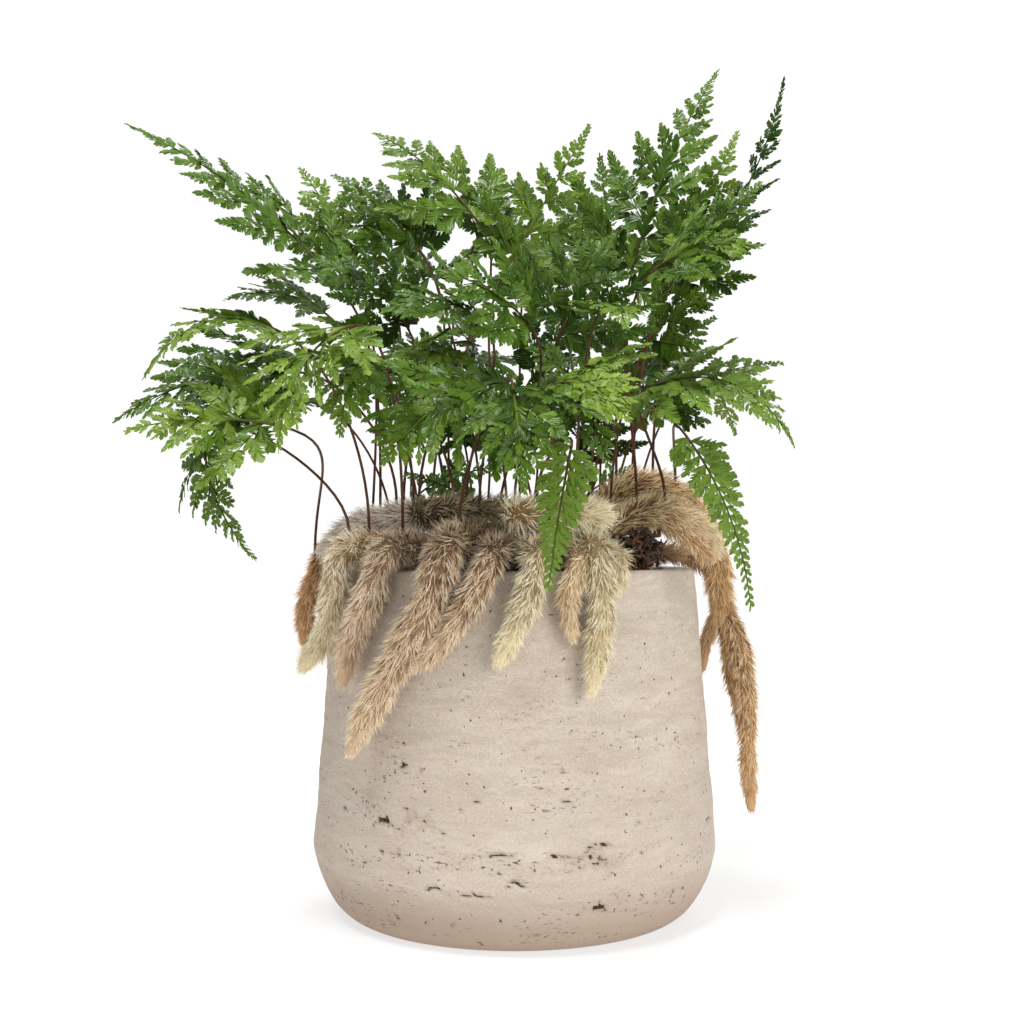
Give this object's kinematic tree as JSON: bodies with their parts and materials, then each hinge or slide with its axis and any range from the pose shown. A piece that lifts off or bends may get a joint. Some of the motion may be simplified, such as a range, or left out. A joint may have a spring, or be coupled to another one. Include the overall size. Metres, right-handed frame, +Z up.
{
  "type": "potted white rabbit's foot fern",
  "caption": "Fern with finely cut triangular fronds on thin brown stipes and furry creeping rhizomes that hang over the rim of a tapered washed concrete pot.",
  "frame": {"origin": "centre of the pot's flat underside", "axes": "+Z up through the pot, front of the plant towards -Y, +X to the right seen from the front"},
  "size_m": [0.2635, 0.2582, 0.3421],
  "materials": {
    "pot": "matte",
    "soil": "matte",
    "rhizome_pale": "matte",
    "rhizome_tan": "matte",
    "rhizome_brown": "matte",
    "frond_dark": "satin",
    "frond_mid": "satin",
    "frond_light": "satin"
  },
  "bodies": {
    "root": {"pot": "pot", "soil": "soil", "rhizome_front_long": "rhizome_tan", "rhizome_front_cream": "rhizome_pale", "rhizome_front_fork": "rhizome_tan", "rhizome_left_pink": "rhizome_tan", "rhizome_left_pale": "rhizome_pale", "rhizome_far_left": "rhizome_brown", "rhizome_back_left": "rhizome_tan", "rhizome_back_long": "rhizome_tan", "rhizome_back_right": "rhizome_tan", "rhizome_right_behind": "rhizome_brown", "rhizome_middle": "rhizome_brown", "rhizome_left_olive": "rhizome_brown", "rhizome_left_hump": "rhizome_pale", "rhizome_front_pale": "rhizome_pale", "rhizome_right_arch": "rhizome_brown", "frond_left_long": "frond_dark", "frond_right_tall": "frond_mid", "frond_right_far": "frond_dark", "frond_centre_tall": "frond_light", "frond_upper_left": "frond_mid", "frond_front_left": "frond_light", "frond_left_arching": "frond_light", "frond_left_broad": "frond_dark", "frond_left_low": "frond_light", "frond_left_hanging": "frond_mid", "frond_front_left_small": "frond_mid", "frond_front_inner_left": "frond_light", "frond_front_arching": "frond_light", "frond_front_centre": "frond_light", "frond_front_hanging": "frond_mid", "frond_front_right": "frond_light", "frond_left_second": "frond_mid", "frond_left_third": "frond_mid", "frond_centre_small": "frond_dark", "frond_right_reaching": "frond_light", "frond_right_pointing": "frond_mid", "frond_right_slim": "frond_light", "frond_right_lobed": "frond_light", "frond_right_branching": "frond_mid", "frond_right_thin": "frond_dark", "frond_right_hanging": "frond_mid", "frond_middle_left": "frond_dark", "frond_middle": "frond_mid", "frond_middle_right": "frond_dark", "frond_middle_low": "frond_mid", "frond_inner_right": "frond_dark", "frond_centre_low": "frond_mid", "frond_left_middle": "frond_mid", "frond_back_tall": "frond_dark", "frond_back_upright": "frond_dark", "frond_back_left_dark": "frond_dark", "frond_back_right_low": "frond_mid", "frond_back_middle": "frond_mid", "frond_back_left": "frond_light", "frond_back_left_low": "frond_mid", "frond_back_right": "frond_light", "frond_back_centre_tall": "frond_mid", "frond_back_left_tall": "frond_dark"}
  },
  "joints": []
}
